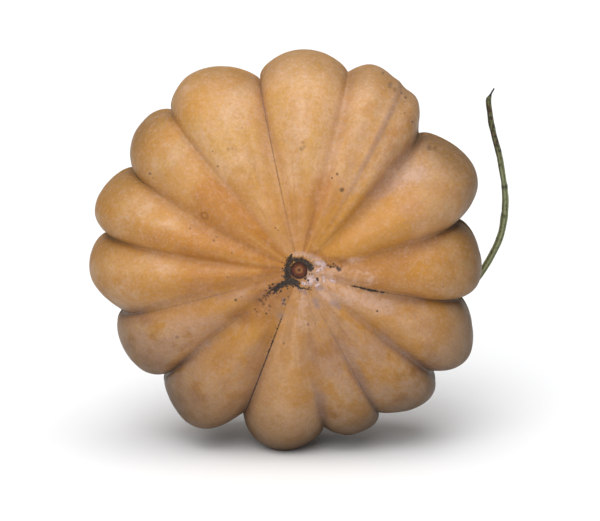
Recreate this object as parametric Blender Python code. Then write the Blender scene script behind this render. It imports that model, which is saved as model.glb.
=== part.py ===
"""A ribbed, flattened pumpkin standing on its rim, with its dried stalk still on.

Metres, +Z up. The blossom end looks along -Y and the stalk is on the +Y side. The origin is the
middle of the small flat spot on which the fruit rests. Angles round the fruit run clockwise from
the top, as seen from the blossom end.
"""

import math

import bmesh
import bpy
from mathutils import Vector

# Where the fruit's own axis runs, parallel to Y.
AXIS_X = 0.0140
AXIS_Z = 0.1773

# Profile of the fruit from its axis to its rim.
BLOSSOM_DEPTH = 0.0860
BLOSSOM_SQUARENESS = 2.6
BASIN_DEPTH = 0.0100
BASIN_RADIUS = 0.0340
STALK_DEPTH = 0.0860
STALK_SQUARENESS = 2.35
CAVITY_DEPTH = 0.0400
CAVITY_RADIUS = 0.0400
SEAT_RADIUS = 0.0190

# How fast the grooves deepen from the axis to the rim.
GROOVE_GROWTH_BLOSSOM = 1.25
GROOVE_GROWTH_STALK = 0.80

# One row for each rib. First the groove at its start: its angle at the rim, its angle near the
# blossom scar and the radius of its floor. Then the rib: the angle and the reach of its crest, and
# how softly its sides fall at its start and its end (0.5 stands up like a tube, 1.5 is a low swell).
RIBS = (
    (-12.5, -12.5, 0.1560, 3.0, 0.1812, 0.53, 0.82),
    (15.0, 16.0, 0.1655, 24.0, 0.1802, 0.90, 0.85),
    (30.0, 33.0, 0.1775, 33.5, 0.1748, 1.00, 1.15),
    (45.1, 46.5, 0.1475, 64.5, 0.1735, 0.56, 0.95),
    (78.2, 79.0, 0.1400, 95.0, 0.1635, 0.48, 0.78),
    (105.2, 106.0, 0.1435, 120.5, 0.1798, 0.41, 1.05),
    (131.6, 128.5, 0.1595, 140.0, 0.1782, 0.73, 0.72),
    (153.4, 152.0, 0.1620, 161.0, 0.1732, 0.62, 0.90),
    (171.9, 171.0, 0.1610, 184.0, 0.1815, 0.62, 0.70),
    (199.0, 200.0, 0.1545, 213.0, 0.1852, 1.20, 0.42),
    (227.7, 233.5, 0.1590, 240.0, 0.1798, 0.68, 0.52),
    (251.7, 253.5, 0.1650, 266.0, 0.1884, 1.05, 0.50),
    (276.1, 275.3, 0.1670, 285.0, 0.1862, 0.72, 0.56),
    (297.3, 296.0, 0.1635, 309.5, 0.1815, 0.66, 0.80),
    (318.6, 319.3, 0.1690, 329.0, 0.1866, 0.66, 0.62),
)
COLUMNS_PER_DEGREE = 0.30
MOST_LEAN = 0.40

# Polar angles of the rows of points, from the blossom scar to the seat of the stalk.
ROW_ANGLES = (2.0, 4.5, 9.0, 16.0, 24.0, 32.0, 40.0, 47.0, 54.0, 61.0, 68.0, 75.0, 82.0, 90.0)
ROW_ANGLES += (98.0, 106.0, 114.0, 122.0, 130.0, 138.0, 146.0, 153.0, 159.0, 164.0, 168.0, 171.0)
ROW_ANGLES += (174.0,)

# Centre line of the stalk from above its seat to its torn tip, measured from the fruit's axis at
# the rim. It leaves the cavity straight, bends over the shoulder and curves up beside the fruit.
STALK_ROUTE = (
    (0.0000, 0.0700, 0.0000),
    (0.0030, 0.0880, -0.0030),
    (0.0160, 0.1070, -0.0140),
    (0.0440, 0.1210, -0.0350),
    (0.0830, 0.1210, -0.0560),
    (0.1200, 0.1060, -0.0650),
    (0.1480, 0.0840, -0.0580),
    (0.1650, 0.0680, -0.0420),
    (0.1765, 0.0610, -0.0220),
    (0.1865, 0.0550, 0.0020),
    (0.1900, 0.0500, 0.0255),
    (0.1890, 0.0450, 0.0490),
    (0.1835, 0.0400, 0.0775),
    (0.1778, 0.0360, 0.0980),
    (0.1732, 0.0330, 0.1168),
    (0.1709, 0.0302, 0.1350),
    (0.1752, 0.0285, 0.1442),
)
STALK_FOOT_RADIUS = 0.0120
STALK_NECK_RADIUS = 0.0054
STALK_EDGE_RADIUS = 0.0033
STALK_TIP_RADIUS = 0.0025
STALK_RIDGES = 5
STALK_SIDES = 10
STALK_RINGS = 64
SEAT_GAP = 0.0003


def remove_everything():
    for thing in list(bpy.data.objects):
        bpy.data.objects.remove(thing, do_unlink=True)


def painted(name, colour, roughness):
    material = bpy.data.materials.new(name)
    material.use_nodes = True
    shader = material.node_tree.nodes["Principled BSDF"]
    shader.inputs["Base Color"].default_value = (*colour, 1.0)
    shader.inputs["Roughness"].default_value = roughness
    shader.inputs["Metallic"].default_value = 0.0
    return material


def mix(a, b, share):
    return a + (b - a) * share


def ring_value(knots, angle):
    """The value at an angle of the smooth closed curve through (angle, value) knots."""
    count = len(knots)

    def knot(index):
        turns, at = divmod(index, count)
        return knots[at][0] + 360.0 * turns, knots[at][1]

    angle = knots[0][0] + (angle - knots[0][0]) % 360.0
    index = max(i for i in range(count) if knots[i][0] <= angle)
    (a0, v0), (a1, v1), (a2, v2), (a3, v3) = (knot(index + step) for step in (-1, 0, 1, 2))
    span = a2 - a1
    share = (angle - a1) / span
    slope_in = (v2 - v0) / (a2 - a0) * span
    slope_out = (v3 - v1) / (a3 - a1) * span
    return (
        v1 * (2 * share**3 - 3 * share**2 + 1)
        + slope_in * (share**3 - 2 * share**2 + share)
        + v2 * (3 * share**2 - 2 * share**3)
        + slope_out * (share**3 - share**2)
    )


CREST_KNOTS = [(rib[3], rib[4]) for rib in RIBS]
FLOOR_KNOTS = [(rib[0], rib[2]) for rib in RIBS]


def profile(reach, polar):
    """(radius, y) of the unribbed skin at a polar angle, and its outward direction there."""
    blossom = polar <= 90.0
    depth = BLOSSOM_DEPTH if blossom else STALK_DEPTH
    power = BLOSSOM_SQUARENESS if blossom else STALK_SQUARENESS
    across = math.sin(math.radians(polar))
    along = abs(math.cos(math.radians(polar)))
    size = (across**power + along**power) ** (-1.0 / power)
    radius = reach * size * across
    y = depth * size * along
    out = Vector((across ** (power - 1) / reach, along ** (power - 1) / depth)).normalized()
    if blossom:
        y -= BASIN_DEPTH * math.exp(-((radius / BASIN_RADIUS) ** 2))
        return radius, -y, out.x, -out.y
    hollow = max(radius, SEAT_RADIUS)
    y -= CAVITY_DEPTH * math.exp(-((hollow / CAVITY_RADIUS) ** 2))
    return radius, y, out.x, out.y


def seat_height():
    """y of the flat floor of the stalk's cavity."""
    return STALK_DEPTH - CAVITY_DEPTH * math.exp(-((SEAT_RADIUS / CAVITY_RADIUS) ** 2))


def rib_bulge(index, along):
    """How far the skin stands out between two grooves: 0 in a groove and 1 on the crest."""
    rib = RIBS[index]
    after = RIBS[(index + 1) % len(RIBS)]
    end = after[0] + (360.0 if after[0] < rib[0] else 0.0)
    middle, half = (rib[0] + end) / 2, (end - rib[0]) / 2
    lean = max(-MOST_LEAN, min(MOST_LEAN, (rib[3] - middle) / half))
    leaned = along - lean * (1 - along * along)
    softness = mix(rib[5], rib[6], (along + 1) / 2)
    return (1 - leaned * leaned) ** softness if abs(leaned) < 1 else 0.0


def fruit_point(index, along, polar):
    """The point of the skin on one rib, at -1 to 1 across it and at a polar angle."""
    rib = RIBS[index]
    after = RIBS[(index + 1) % len(RIBS)]
    turn = 360.0 if after[0] < rib[0] else 0.0
    share = (along + 1) / 2
    rim_angle = mix(rib[0], after[0] + turn, share)
    inner_angle = mix(rib[1], after[1] + turn, share)
    reach = ring_value(CREST_KNOTS, rim_angle)
    depth = reach - ring_value(FLOOR_KNOTS, rim_angle)
    radius, y, out_r, out_y = profile(reach, polar)
    part = min(1.0, radius / reach)
    growth = GROOVE_GROWTH_BLOSSOM if polar <= 90.0 else GROOVE_GROWTH_STALK
    fade = max(0.0, radius - SEAT_RADIUS) / (radius + 1e-9) if polar > 90.0 else 1.0
    cut = depth * (1 - rib_bulge(index, along)) * part**growth * fade
    radius -= cut * out_r
    y -= cut * out_y
    angle = math.radians(mix(inner_angle, rim_angle, part if polar <= 90.0 else 1.0))
    return Vector((AXIS_X + radius * math.sin(angle), y, AXIS_Z + radius * math.cos(angle)))


def columns():
    """(rib, place across it) for each column of points, closer together towards the grooves."""
    for index, rib in enumerate(RIBS):
        after = RIBS[(index + 1) % len(RIBS)]
        width = (after[0] - rib[0]) % 360.0
        count = max(4, round(width * COLUMNS_PER_DEGREE))
        for step in range(count):
            even = 2 * step / count - 1
            yield index, mix(even, math.sin(even * math.pi / 2), 0.6)


def skin_between(mesh, first, second):
    count = len(first)
    for i in range(count):
        j = (i + 1) % count
        mesh.faces.new((first[i], first[j], second[j], second[i]))


def close_end(mesh, ring, centre, forward):
    tip = mesh.verts.new(centre)
    count = len(ring)
    for i in range(count):
        j = (i + 1) % count
        corners = (tip, ring[j], ring[i]) if forward else (tip, ring[i], ring[j])
        mesh.faces.new(corners)


def object_from(name, mesh, material, sharp_degrees):
    bmesh.ops.recalc_face_normals(mesh, faces=mesh.faces[:])
    data = bpy.data.meshes.new(name)
    mesh.to_mesh(data)
    mesh.free()
    data.materials.append(material)
    data.shade_smooth()
    data.set_sharp_from_angle(angle=math.radians(sharp_degrees))
    thing = bpy.data.objects.new(name, data)
    bpy.context.scene.collection.objects.link(thing)
    return thing


def make_fruit():
    mesh = bmesh.new()
    places = list(columns())
    rows = []
    for polar in ROW_ANGLES:
        rows.append([mesh.verts.new(fruit_point(i, along, polar)) for i, along in places])
    for first, second in zip(rows, rows[1:]):
        skin_between(mesh, first, second)
    close_end(mesh, rows[0], (AXIS_X, BASIN_DEPTH - BLOSSOM_DEPTH, AXIS_Z), True)
    close_end(mesh, rows[-1], (AXIS_X, seat_height(), AXIS_Z), False)
    # The fruit has settled on a flat spot at the floor.
    bmesh.ops.recalc_face_normals(mesh, faces=mesh.faces[:])
    bmesh.ops.bisect_plane(
        mesh,
        geom=mesh.verts[:] + mesh.edges[:] + mesh.faces[:],
        plane_co=(0, 0, 0),
        plane_no=(0, 0, -1),
        clear_outer=True,
    )
    rim = [edge for edge in mesh.edges if edge.is_boundary]
    bmesh.ops.holes_fill(mesh, edges=rim, sides=0)
    skin = painted("pumpkin_skin", (0.58, 0.34, 0.13), 0.55)
    return object_from("fruit", mesh, skin, 75)


def route_point(share):
    """The stalk's centre line, a smooth curve through its seat and its route points."""
    route = ((0.0, seat_height() + SEAT_GAP, 0.0), *STALK_ROUTE)
    count = len(route) - 1
    at = min(share * count, count - 1e-6)
    index = int(at)
    local = at - index
    picked = [route[max(0, min(count, index + step))] for step in (-1, 0, 1, 2)]
    p0, p1, p2, p3 = (Vector(point) for point in picked)
    return 0.5 * (
        2 * p1
        + (p2 - p0) * local
        + (2 * p0 - 5 * p1 + 4 * p2 - p3) * local**2
        + (3 * p1 - p0 - 3 * p2 + p3) * local**3
    )


def stalk_radius(share):
    """Flared foot, slim neck, and a slow taper to the torn tip."""
    foot = STALK_FOOT_RADIUS * math.exp(-((share / 0.075) ** 1.5))
    neck = mix(STALK_NECK_RADIUS, STALK_EDGE_RADIUS, min(1.0, share / 0.45))
    slim = mix(neck, STALK_TIP_RADIUS, max(0.0, (share - 0.45) / 0.55))
    torn = min(1.0, math.sqrt(max(0.0, 1.0 - share) / 0.03) + 0.12)
    return max(foot, slim) * torn


def make_stalk():
    mesh = bmesh.new()
    start = Vector((AXIS_X, 0.0, AXIS_Z))
    across = Vector((1, 0, 0))
    rings = []
    for step in range(STALK_RINGS + 1):
        share = step / STALK_RINGS
        centre = route_point(share)
        ahead = route_point(min(1.0, share + 0.004)) - route_point(max(0.0, share - 0.004))
        ahead.normalize()
        if step == 0:
            ahead = Vector((0, 1, 0))
        across = (across - ahead * across.dot(ahead)).normalized()
        upward = ahead.cross(across)
        ring = []
        for side in range(STALK_SIDES):
            turn = 2 * math.pi * side / STALK_SIDES
            ridge = mix(0.16, 0.05, min(1.0, share / 0.3)) * math.cos(STALK_RIDGES * turn)
            radius = stalk_radius(share) * (1 + ridge)
            offset = across * math.cos(turn) + upward * math.sin(turn)
            ring.append(mesh.verts.new(start + centre + offset * radius))
        rings.append(ring)
    for first, second in zip(rings, rings[1:]):
        skin_between(mesh, first, second)
    mesh.faces.new(rings[0])
    mesh.faces.new(rings[-1])
    dried = painted("dried_stalk", (0.16, 0.18, 0.09), 0.75)
    return object_from("stem", mesh, dried, 60)


def main():
    remove_everything()
    make_fruit()
    make_stalk()


main()
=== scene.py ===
"""Ribbed pumpkin on its rim: the fine skin, the dried stalk and the stage.

Metres, +Z up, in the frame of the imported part. The blossom end looks along -Y. Angles round the
fruit run clockwise from the top, as seen from the blossom end.
"""

import math
from functools import partial
from typing import NamedTuple

import bpy
import numpy as np
from bpy.props import FloatProperty, FloatVectorProperty, IntProperty, PointerProperty
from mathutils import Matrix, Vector, noise


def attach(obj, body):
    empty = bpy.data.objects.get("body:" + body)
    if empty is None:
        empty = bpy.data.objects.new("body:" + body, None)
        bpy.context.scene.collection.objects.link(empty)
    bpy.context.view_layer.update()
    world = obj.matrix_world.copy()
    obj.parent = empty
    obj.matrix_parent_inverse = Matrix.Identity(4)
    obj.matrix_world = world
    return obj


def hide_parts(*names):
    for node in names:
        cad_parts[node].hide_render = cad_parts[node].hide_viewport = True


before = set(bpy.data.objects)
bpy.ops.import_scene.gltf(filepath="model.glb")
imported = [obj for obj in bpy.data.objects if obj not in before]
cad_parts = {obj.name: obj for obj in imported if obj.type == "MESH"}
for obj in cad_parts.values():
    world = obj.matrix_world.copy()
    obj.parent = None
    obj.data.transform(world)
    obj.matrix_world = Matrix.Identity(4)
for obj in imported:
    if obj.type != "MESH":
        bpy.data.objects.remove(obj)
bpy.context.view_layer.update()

bl_info = {
    "name": "Ribbed Pumpkin",
    "version": (1, 0, 0),
    "blender": (4, 5, 0),
    "location": "3D View > Sidebar > Pumpkin",
    "description": "Grows the skin and the stalk of a ribbed pumpkin over its packed solids",
    "category": "Object",
}

MM_IN_M = 1000

# Where the fruit's own axis runs, parallel to Y.
AXIS_X = 0.0140
AXIS_Z = 0.1773

# Profile of the fruit from its axis to its rim.
BLOSSOM_DEPTH = 0.0860
BLOSSOM_SQUARENESS = 2.6
BASIN_DEPTH = 0.0100
BASIN_RADIUS = 0.0340
STALK_DEPTH = 0.0860
STALK_SQUARENESS = 2.35
CAVITY_DEPTH = 0.0400
CAVITY_RADIUS = 0.0400
SEAT_RADIUS = 0.0190
GROOVE_GROWTH_BLOSSOM = 1.25
GROOVE_GROWTH_STALK = 0.80
MOST_LEAN = 0.40

# How strongly the columns of faces gather at the grooves, and the last row of faces round the
# stalk, in degrees from the blossom end.
GATHERED = 0.45
LAST_ROW = 174.0


class Rib(NamedTuple):
    """One rib, from the groove at its start. Angles are in degrees and lengths in metres."""

    groove: float  # angle of the groove at the rim
    groove_inner: float  # its angle near the blossom scar
    floor: float  # radius of its floor
    crest: float  # angle of the rib's crest
    reach: float  # radius of the crest
    soft_start: float  # how softly the rib's sides fall, at its start and its end
    soft_end: float
    pale: float  # how pale its skin is
    pressed: float  # how hard it is pressed against the rib before it
    yellow: float  # how yellow its skin is


RIB_ROWS = (
    (-12.5, -12.5, 0.1560, 3.0, 0.1812, 0.53, 0.82, 0.7, 0.72, 0.3),
    (15.0, 16.0, 0.1655, 24.0, 0.1802, 0.90, 0.85, -0.1, 0.1, 0.30),
    (30.0, 33.0, 0.1775, 33.5, 0.1748, 1.00, 1.15, -0.2, 0.0, 0.30),
    (45.1, 46.5, 0.1475, 64.5, 0.1735, 0.56, 0.95, 0.0, 0.3, 0.60),
    (78.2, 79.0, 0.1400, 95.0, 0.1635, 0.48, 0.78, -0.1, 0.3, 1.0),
    (105.2, 106.0, 0.1435, 120.5, 0.1798, 0.41, 1.05, -0.2, 0.6, 0.5),
    (131.6, 128.5, 0.1595, 140.0, 0.1782, 0.73, 0.72, -0.6, 0.3, 0.2),
    (153.4, 152.0, 0.1620, 161.0, 0.1732, 0.62, 0.90, -0.6, 0.5, 0.2),
    (171.9, 171.0, 0.1610, 184.0, 0.1815, 0.62, 0.70, 0.1, 0.3, 0.35),
    (199.0, 200.0, 0.1545, 213.0, 0.1852, 1.20, 0.42, -0.3, 1.0, 0.65),
    (227.7, 233.5, 0.1590, 240.0, 0.1798, 0.68, 0.52, -0.6, 0.4, 0.4),
    (251.7, 253.5, 0.1650, 266.0, 0.1884, 1.05, 0.50, 0.15, 0.5, 0.75),
    (276.1, 275.3, 0.1670, 285.0, 0.1862, 0.72, 0.56, 0.30, 0.0, 0.80),
    (297.3, 296.0, 0.1635, 309.5, 0.1815, 0.66, 0.80, 0.3, 0.3, 0.8),
    (318.6, 319.3, 0.1690, 329.0, 0.1866, 0.66, 0.62, 0.8, 0.0, 0.35),
)
RIBS = tuple(Rib(*row) for row in RIB_ROWS)

# Marks on the blossom face, each a brush stroke of points in millimetres from the scar: right, up
# and half the stroke's width.
SOIL = (
    (
        (-6.4, 13.8, 1.0), (-7.6, 9.9, 2.2), (-9.2, 4.5, 2.7), (-9.9, -0.7, 2.9), (-9.4, -5.9, 3.2),
        (-7.6, -9.4, 3.7), (-3.6, -10.4, 3.0), (0.4, -11.4, 1.5),
    ),
    (
        (-6.2, 7.6, 2.4), (-3.0, 9.2, 2.1), (0.9, 9.2, 2.3), (3.5, 8.6, 2.0), (6.2, 7.1, 2.4),
        (8.3, 5.0, 2.8), (9.6, 2.6, 2.7), (9.8, 0.4, 1.7),
    ),
    ((-8.4, -9.6, 3.4), (-13.7, -11.9, 2.5), (-18.0, -13.8, 2.0), (-21.5, -16.4, 1.2)),
    ((-18.2, -15.4, 1.5), (-21.6, -19.6, 0.9)),
    ((-25.0, -14.6, 1.0),), ((-27.4, -19.4, 0.9),), ((-22.6, -11.4, 0.8),), ((-15.6, -17.6, 0.9),),
    ((-4.6, -11.6, 1.6), (-0.6, -14.4, 1.0), (3.4, -16.0, 0.7)),
    ((5.2, -7.4, 1.0),),
    ((8.0, -9.0, 0.9),),
    ((15.4, -7.0, 1.0), (16.4, -8.6, 0.7)),
    ((46.5, -13.5, 0.6), (49.0, -14.2, 0.7)), ((53.0, -15.3, 0.9), (56.5, -16.3, 0.7)),
    ((60.0, -17.3, 1.2), (66.5, -19.0, 0.9)), ((70.5, -20.2, 0.8), (73.5, -21.0, 0.5)),
)
# Where the earth lies only in crumbs, and how far these strokes lie below the solid earth's.
CRUMBS_BELOW = 0.95
CRUMBS = (
    ((43.0, -12.6, 1.6), (54.1, -15.7, 2.4), (64.0, -18.4, 2.2), (78.0, -22.0, 1.2)),
    ((-14.0, -13.0, 4.5), (-24.0, -17.0, 4.0), (-33.0, -26.0, 3.0)),
    ((-12.0, -24.0, 2.0), (-13.0, -28.0, 1.8)),
    ((26.0, 3.6, 2.4), (33.0, 3.0, 2.6)),
    ((3.0, -15.0, 3.0), (10.0, -17.0, 2.5)),
    ((-14.5, -40.0, 1.5), (-27.5, -76.0, 1.6)),
)
FLAKES = (
    ((10.6, -7.6, 4.4), (9.6, -10.4, 3.6)),
    ((3.2, -11.4, 2.0), (6.4, -12.8, 2.2)),
    ((15.6, 6.6, 2.8), (20.6, 5.6, 3.4)),
    ((18.6, 1.8, 2.2), (16.0, -0.6, 1.6)),
    ((20.8, -5.2, 1.4), (21.2, -9.0, 1.4)),
    ((27.6, -8.4, 1.6), (31.0, -9.6, 1.2)),
    ((17.6, -11.4, 1.4), (14.4, -13.2, 1.6)),
)
BLEACHED = (
    ((13.0, -4.0, 11.0), (28.0, -6.0, 10.0), (42.0, -6.0, 9.0), (58.0, -7.0, 7.0)),
    ((-4.0, 14.2, 2.0), (4.0, 14.4, 2.6), (12.0, 11.0, 3.4), (17.0, 8.0, 4.0)),
    ((20.0, -22.0, 9.0), (38.0, -21.0, 9.0), (58.0, -26.0, 9.0), (76.0, -31.0, 8.0)),
    ((44.0, 8.0, 4.0), (52.0, 9.0, 5.0)),
    ((3.0, -25.0, 6.0), (5.0, -44.0, 8.0)),
    ((84.0, 76.0, 10.0), (104.0, 80.0, 8.0)),
)
STAINS = (
    ((28.6, -27.6, 2.6), (32.6, -29.4, 2.9), (35.0, -32.0, 1.8)),
    ((-15.6, -38.6, 3.2),),
    ((14.0, -26.0, 3.2), (15.6, -30.6, 2.6)),
    ((-13.0, -24.8, 1.7), (-13.6, -29.4, 1.2)),
    ((16.2, -15.2, 1.9), (19.4, -15.4, 1.7)),
    ((-2.0, -14.6, 1.7), (1.4, -17.4, 1.8), (5.6, -19.2, 1.9)),
)
GRIMY = (
    ((-16.0, -17.0, 9.0), (-27.0, -26.0, 13.0), (-38.0, -36.0, 8.0)),
    ((8.0, -20.0, 8.0), (24.0, -12.0, 8.0)),
    ((120.0, -20.0, 14.0), (135.0, -24.0, 12.0)),
    ((88.0, 145.0, 13.0), (100.0, 128.0, 12.0)),
    ((92.0, -76.0, 8.0), (112.0, -88.0, 9.0), (128.0, -72.0, 8.0)),
)
BANDS = (
    ((110.0, -20.0, 4.0), (123.0, -40.0, 7.0), (126.0, -57.0, 8.0), (120.0, -72.0, 7.0)),
    ((-46.0, -58.0, 12.0), (-76.0, -82.0, 14.0)),
    ((-42.0, -30.0, 7.0), (-90.0, -34.0, 8.0), (-126.0, -42.0, 9.0)),
    ((-4.0, -96.0, 10.0), (0.0, -116.0, 11.0)),
    ((10.0, -86.0, 7.0), (22.0, -106.0, 8.0)),
    ((64.0, -88.0, 7.0), (76.0, -100.0, 8.0)),
    ((74.0, -46.0, 8.0), (96.0, -66.0, 9.0)),
    ((-112.0, 112.0, 7.0), (-96.0, 132.0, 9.0), (-78.0, 152.0, 9.0), (-48.0, 162.0, 6.0)),
    ((-128.0, 104.0, 7.0), (-144.0, 84.0, 9.0), (-140.0, 62.0, 7.0)),
    ((-165.0, 44.0, 8.0), (-170.0, 22.0, 7.0)),
    ((64.0, 46.0, 8.0), (98.0, 68.0, 9.0)),
)
GILDED = (
    ((20.0, 22.0, 9.0), (38.0, 41.0, 16.0), (50.0, 51.0, 18.0)),
    ((26.0, 14.0, 9.0), (48.0, 28.0, 20.0), (66.0, 38.0, 22.0), (78.0, 34.0, 16.0)),
)
BROWNED = (
    ((-14.0, -15.0, 9.0), (-28.0, -26.0, 14.0), (-46.0, -37.0, 12.0)),
    ((-13.0, 1.0, 3.0), (-28.0, 0.0, 4.0)),
    ((12.0, 14.0, 4.0), (26.0, 10.0, 4.0), (40.0, 8.0, 4.0)),
    ((22.0, -4.0, 3.0), (36.0, -7.0, 3.0)),
)
STROKES = {
    "soil": SOIL,
    "flake": FLAKES,
    "bleach": BLEACHED,
    "stain": STAINS,
    "grimy": GRIMY,
    "band": BANDS,
    "browned": BROWNED,
    "gilded": GILDED,
}

# Spots that show as single dots: right, up and radius in millimetres from the scar, and how dark.
SPOTS = (
    (36.4, 70.5, 2.5, 0.70), (28.0, 80.3, 1.2, 0.70), (32.2, 83.8, 1.4, 0.70),
    (67.0, -34.7, 1.3, 0.90), (88.5, 146.8, 1.2, 0.60), (92.0, 143.0, 1.4, 0.60),
    (97.5, 123.5, 1.2, 0.60), (73.0, 163.0, 1.1, 0.60), (-105.7, -60.4, 1.9, 0.45),
    (-93.0, 36.0, 1.1, 0.55), (-72.5, 26.5, 1.3, 0.60), (-70.0, 29.0, 0.9, 0.55),
    (-20.0, 38.0, 0.9, 0.60), (-17.6, 36.0, 0.8, 0.55), (-69.0, 89.0, 1.3, 0.55),
    (-73.0, 102.0, 1.0, 0.50), (-128.0, 80.0, 1.5, 0.60), (-57.0, 16.5, 1.0, 0.60),
    (34.2, 1.7, 2.6, 0.95), (33.0, 3.6, 1.3, 0.85), (31.0, 4.9, 1.0, 0.70),
    (27.2, 3.6, 1.3, 0.65), (25.0, 4.8, 1.0, 0.55), (36.8, 3.8, 0.9, 0.60),
    (2.0, 105.2, 2.3, 0.34), (4.2, 106.8, 2.0, 0.30), (3.4, 110.5, 1.7, 0.30),
    (-60.0, 104.3, 1.6, 0.28), (-56.5, 105.0, 1.3, 0.28), (-53.3, 104.3, 1.3, 0.28),
    (78.6, 154.0, 3.0, 0.40), (82.5, 150.5, 2.2, 0.35), (113.0, 99.5, 2.5, 0.45),
    (118.0, 99.0, 1.7, 0.35), (-25.5, -12.4, 1.2, 0.70), (-28.4, -16.4, 1.0, 0.60),
    (-30.6, -28.5, 1.9, 0.60), (-32.3, -26.6, 1.0, 0.60), (-25.5, -29.4, 1.3, 0.60),
    (-37.7, -33.5, 1.1, 0.70), (-36.0, -35.2, 0.9, 0.60), (-28.0, -36.6, 1.1, 0.75),
    (-54.1, -24.8, 1.4, 0.85), (-49.3, -21.9, 0.9, 0.55), (-33.0, -16.6, 0.9, 0.40),
    (-14.8, -4.7, 1.1, 0.75), (-61.0, -4.5, 0.9, 0.50), (8.0, -47.0, 1.1, 0.70),
    (13.8, -45.3, 1.0, 0.60), (-13.1, -63.5, 1.6, 0.40), (-9.1, -22.7, 1.2, 0.55),
)
RING_SCAB = (-80.5, 46.9, 3.4)

# Depth that stands for a place far outside every stroke.
OFF_STROKES = -3.0

# Typical of wax and of dry plant fibre.
PLANT_IOR = 1.45

# Centre line of the stalk, measured from the fruit's axis at the rim.
STALK_ROUTE = (
    (0.0000, 0.0700, 0.0000),
    (0.0030, 0.0880, -0.0030),
    (0.0160, 0.1070, -0.0140),
    (0.0440, 0.1210, -0.0350),
    (0.0830, 0.1210, -0.0560),
    (0.1200, 0.1060, -0.0650),
    (0.1480, 0.0840, -0.0580),
    (0.1650, 0.0680, -0.0420),
    (0.1765, 0.0610, -0.0220),
    (0.1865, 0.0550, 0.0020),
    (0.1900, 0.0500, 0.0255),
    (0.1890, 0.0450, 0.0490),
    (0.1835, 0.0400, 0.0775),
    (0.1778, 0.0360, 0.0980),
    (0.1732, 0.0330, 0.1168),
    (0.1709, 0.0302, 0.1350),
    (0.1752, 0.0285, 0.1442),
)
SEAT_GAP = 0.0003

# Shares of the stalk's length at its two nodes, and where its torn tip starts.
NODES = (0.640, 0.716)
KNEE = 0.941


def linear(code):
    """Linear colour of an sRGB hex code."""
    parts = [int(code[at : at + 2], 16) / 255 for at in (0, 2, 4)]
    return [part / 12.92 if part <= 0.04045 else ((part + 0.055) / 1.055) ** 2.4 for part in parts]


def length(name, description, default):
    """A size that a user can change, in metres."""
    return FloatProperty(name=name, description=description, default=default, subtype="DISTANCE")


def colour(name, description, code):
    """A colour that a user can change, from its sRGB hex code."""
    return FloatVectorProperty(
        name=name, description=description, default=linear(code), subtype="COLOR", min=0, max=1
    )


class PumpkinSkin(bpy.types.PropertyGroup):
    columns: IntProperty(
        name="Columns", description="Columns of faces round the fruit", default=480
    )
    front_step: FloatProperty(
        name="Row step, face", description="Degrees between rows on the blossom face", default=0.80
    )
    back_step: FloatProperty(
        name="Row step, back", description="Degrees between rows on the stalk side", default=1.9
    )
    swell: length("Swell", "Height of the slow unevenness of the skin", 0.0011)
    dimple: length("Dimples", "Height of the small unevenness of the skin", 0.00035)
    scar_radius: length("Scar radius", "Radius of the blossom scar", 0.0076)
    cream: colour("Cream", "Pale pinkish tan of the crests", "CBA075")
    tan: colour("Tan", "Main colour of the ripe skin", "C39553")
    ochre: colour("Ochre", "Warm yellow patches and streaks", "BA802B")
    # Pink, brown, russet and stain also paint the shade in the grooves.
    pink: colour("Pink", "Pinkish skin beside the grooves and low on the fruit", "BB9072")
    brown: colour("Brown", "Skin low in the grooves", "835428")
    # Painted shade: the colour that darkens the skin round the rim.
    rim_shade: colour("Rim", "Dull skin round the rim", "6B4C1C")
    amber: colour("Amber", "Deep ochre skin round the scar", "AB6A10")
    gold: colour("Gold", "Golden skin above the scar, with a clear edge", "C1862B")
    russet: colour("Russet", "Browned skin beside the scar", "8C521A")
    # Painted shade: the colour of the dark line in the creases where two ribs press together.
    crease_shade: colour("Crease", "Line where two ribs press together", "32180E")
    scar_pale: colour("Scar, middle", "Pale cork in the middle of the blossom scar", "84552F")
    scar: colour("Scar", "Corky disc of the blossom scar", "5C2C1A")
    scar_rim: colour("Scar rim", "Dark edge and centre of the scar", "2C1510")
    soil: colour("Soil", "Dried earth round the scar", "131614")
    flake: colour("Flake", "Dry pale flakes of skin", "CDB4B2")
    bleach: colour("Bleach", "Pale pinkish skin beside the scar", "C7A28C")
    stain: colour("Stain", "Mauve grey stains", "76686F")
    speck: colour("Speck", "Small brown specks", "3C2618")


class PumpkinStalk(bpy.types.PropertyGroup):
    foot: length("Foot radius", "Radius where the stalk leaves the fruit", 0.0120)
    neck: length("Neck radius", "Radius above the flared foot", 0.0054)
    edge: length("Middle radius", "Radius where the stalk passes the rim", 0.0031)
    tip: length("Tip radius", "Radius below the torn tip", 0.0023)
    green: colour("Green", "Dried green bark", "7B8158")
    pale: colour("Pale", "Pale ridges", "A2A683")
    olive: colour("Olive", "Dull bark of the dried end", "55532F")
    dark: colour("Dark", "Dark bark of the cracks and the nodes", "22201A")
    brown: colour("Brown", "Brown patches of the dried end", "5A3D2A")


class PumpkinStage(bpy.types.PropertyGroup):
    distance: length("Camera distance", "From the camera to the middle of the view", 1.6)
    elevation: FloatProperty(
        name="Camera elevation",
        description="Angle of the camera above level",
        default=math.radians(12),
        subtype="ANGLE",
    )
    width: length("View width", "Width of the view at the fruit's axis", 0.54)
    key: FloatProperty(
        name="Key light", description="Strength of the soft light from the front left", default=1.45
    )
    top: FloatProperty(
        name="Top light", description="Strength of the soft light from above", default=2.0
    )
    sky: FloatProperty(name="Surround", description="Strength of the pale surround", default=0.33)
    floor: colour("Floor", "Pale studio floor", "F1F2F3")


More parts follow.
